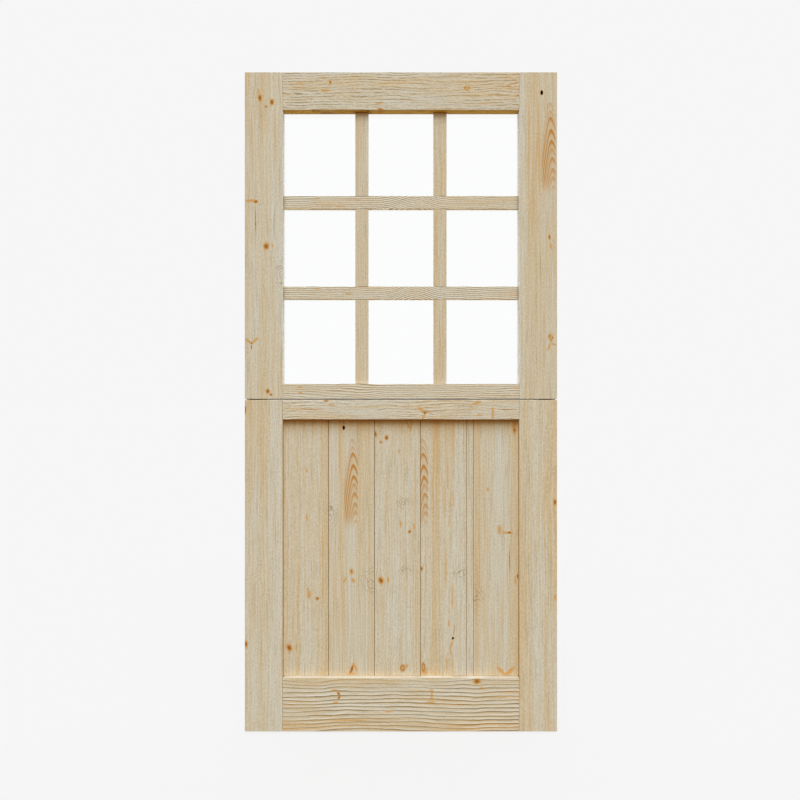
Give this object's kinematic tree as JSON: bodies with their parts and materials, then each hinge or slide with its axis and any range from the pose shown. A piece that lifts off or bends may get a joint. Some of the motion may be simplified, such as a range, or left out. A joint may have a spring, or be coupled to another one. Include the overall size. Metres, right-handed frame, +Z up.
{
  "type": "dutch stable door",
  "caption": "Softwood stable door split at mid height: a glazed upper leaf with crossing bars over a boarded lower leaf, both hinged on a plain frame.",
  "frame": {"origin": "floor level, midway between the jambs, midway through the depth of frame and leaves", "axes": "+Z up, -Y out of the face that the picture shows, +X from the hinge side to the lock side"},
  "size_m": [1.0005, 0.118, 2.098],
  "materials": {
    "leaf_pine": "matte",
    "frame_pine": "matte",
    "pane_glass": "polished",
    "hinge_steel": "satin",
    "seal_rubber": "matte"
  },
  "bodies": {
    "door_frame": {"hinge_jamb": "frame_pine", "lock_jamb": "frame_pine", "head": "frame_pine", "hinge_1_frame_plate": "hinge_steel", "hinge_2_frame_plate": "hinge_steel", "hinge_3_frame_plate": "hinge_steel", "hinge_4_frame_plate": "hinge_steel", "hinge_1_pin": "hinge_steel", "hinge_2_pin": "hinge_steel", "hinge_3_pin": "hinge_steel", "hinge_4_pin": "hinge_steel", "frame_hinge_screws": "hinge_steel"},
    "upper_leaf": {"upper_hinge_stile": "leaf_pine", "upper_lock_stile": "leaf_pine", "upper_top_rail": "leaf_pine", "upper_meeting_rail": "leaf_pine", "glazing_bar_top": "leaf_pine", "glazing_bar_bottom": "leaf_pine", "glazing_bar_left": "leaf_pine", "glazing_bar_right": "leaf_pine", "glass_pane_1": "pane_glass", "glass_pane_2": "pane_glass", "glass_pane_3": "pane_glass", "glass_pane_4": "pane_glass", "glass_pane_5": "pane_glass", "glass_pane_6": "pane_glass", "glass_pane_7": "pane_glass", "glass_pane_8": "pane_glass", "glass_pane_9": "pane_glass", "glazing_beads_1": "leaf_pine", "glazing_beads_2": "leaf_pine", "glazing_beads_3": "leaf_pine", "glazing_beads_4": "leaf_pine", "glazing_beads_5": "leaf_pine", "glazing_beads_6": "leaf_pine", "glazing_beads_7": "leaf_pine", "glazing_beads_8": "leaf_pine", "glazing_beads_9": "leaf_pine", "hinge_3_leaf_plate": "hinge_steel", "hinge_4_leaf_plate": "hinge_steel", "upper_hinge_screws": "hinge_steel", "meeting_seal": "seal_rubber"},
    "lower_leaf": {"lower_hinge_stile": "leaf_pine", "lower_lock_stile": "leaf_pine", "lower_meeting_rail": "leaf_pine", "lower_bottom_rail": "leaf_pine", "board_1": "leaf_pine", "board_2": "leaf_pine", "board_3": "leaf_pine", "board_4": "leaf_pine", "board_5": "leaf_pine", "filler_strip": "leaf_pine", "hinge_1_leaf_plate": "hinge_steel", "hinge_2_leaf_plate": "hinge_steel", "lower_hinge_screws": "hinge_steel"}
  },
  "joints": [
    {"name": "upper_swing", "type": "hinge", "parent": "door_frame", "child": "upper_leaf", "pos_m": [-0.5005, -0.0125, 1.58], "axis": [0, 0, -1], "range_deg": [0, 175]},
    {"name": "lower_swing", "type": "hinge", "parent": "door_frame", "child": "lower_leaf", "pos_m": [-0.5005, -0.0125, 0.5335], "axis": [0, 0, -1], "range_deg": [0, 175]}
  ]
}
